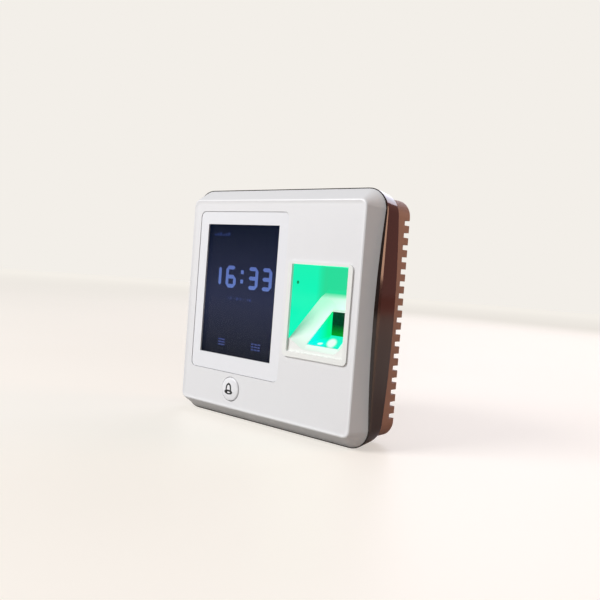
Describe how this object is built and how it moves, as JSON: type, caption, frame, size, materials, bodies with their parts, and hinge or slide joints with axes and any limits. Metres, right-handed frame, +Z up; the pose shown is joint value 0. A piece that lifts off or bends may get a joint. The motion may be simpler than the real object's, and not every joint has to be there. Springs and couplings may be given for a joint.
{
  "type": "fingerprint scanner terminal",
  "caption": "Square wall terminal with a portrait touch screen, a lit finger well with a sloping glass sensor and a round bell key.",
  "frame": {"origin": "centre of the four wall screw holes, on the back face of the wall plate", "axes": "+Y points into the wall, -Y is the way the face looks, +Z is up, +X is to the right of someone facing it"},
  "size_m": [0.134, 0.0361, 0.1274],
  "materials": {
    "cover_white": "fine satin moulded ABS",
    "bezel_white": "semi-gloss moulded ABS",
    "rest_white": "semi-gloss moulded ABS",
    "key_white": "semi-gloss moulded ABS",
    "frame_gloss": "dark gloss moulded ABS",
    "housing_matte": "fine textured moulded ABS",
    "plate_steel": "zinc plated sheet",
    "screw_steel": "zinc plated",
    "gasket_foam": "closed-cell foam",
    "touch_glass": "gloss film on glass",
    "lcd_cell": "polariser film over the lit cell",
    "light_guide": "clear acrylic light guide",
    "tin_plate": "tin plated",
    "circuit_board": "solder mask over glass epoxy",
    "black_plastic": "moulded nylon",
    "switch_stem": "moulded acetal",
    "lit_liner": "translucent ABS lit green from inside",
    "prism_glass": "polished optical glass",
    "absorber_black": "flock black",
    "led_green": "clear epoxy, lit",
    "ribbon": "polyester film",
    "relay_blue": "moulded PBT",
    "terminal_green": "moulded nylon",
    "cell_steel": "nickel plated"
  },
  "bodies": {
    "case": {"front_cover": "cover_white", "mid_frame": "frame_gloss", "rear_housing": "housing_matte", "wall_plate": "plate_steel", "plate_lock_screw": "screw_steel", "case_screws": "screw_steel", "screen_bezel": "bezel_white", "bezel_gasket": "gasket_foam", "touch_panel": "touch_glass", "lcd_panel": "lcd_cell", "backlight": "light_guide", "lcd_frame": "tin_plate", "display_board": "circuit_board", "display_screws": "screw_steel", "bell_switch": "black_plastic", "finger_rest": "rest_white", "well_liner": "lit_liner", "sensor_prism": "prism_glass", "prism_holder": "black_plastic", "absorber_plate": "absorber_black", "sensor_leds": "led_green", "led_board": "circuit_board", "imager_lens": "black_plastic", "imager_board": "circuit_board", "sensor_cable": "ribbon", "display_cable": "ribbon", "main_board": "circuit_board", "board_screws": "screw_steel", "processor_shield": "tin_plate", "relay": "relay_blue", "wiring_terminals": "terminal_green", "network_jack": "tin_plate", "clock_battery": "cell_steel", "battery_holder": "black_plastic", "speaker": "black_plastic", "tamper_switch": "black_plastic"},
    "bell_key": {"bell_button": "key_white", "bell_switch_stem": "switch_stem"},
    "tamper_pin": {"tamper_plunger": "switch_stem"}
  },
  "joints": [
    {"name": "bell_press", "type": "slide", "parent": "case", "child": "bell_key", "axis": [0, 1, 0], "range_m": [0, 0.0008], "stiffness_N_per_m": 900, "springref_m": -0.0006},
    {"name": "tamper_press", "type": "slide", "parent": "case", "child": "tamper_pin", "axis": [0, -1, 0], "range_m": [0, 0.0008], "stiffness_N_per_m": 700, "springref_m": -0.0008}
  ]
}
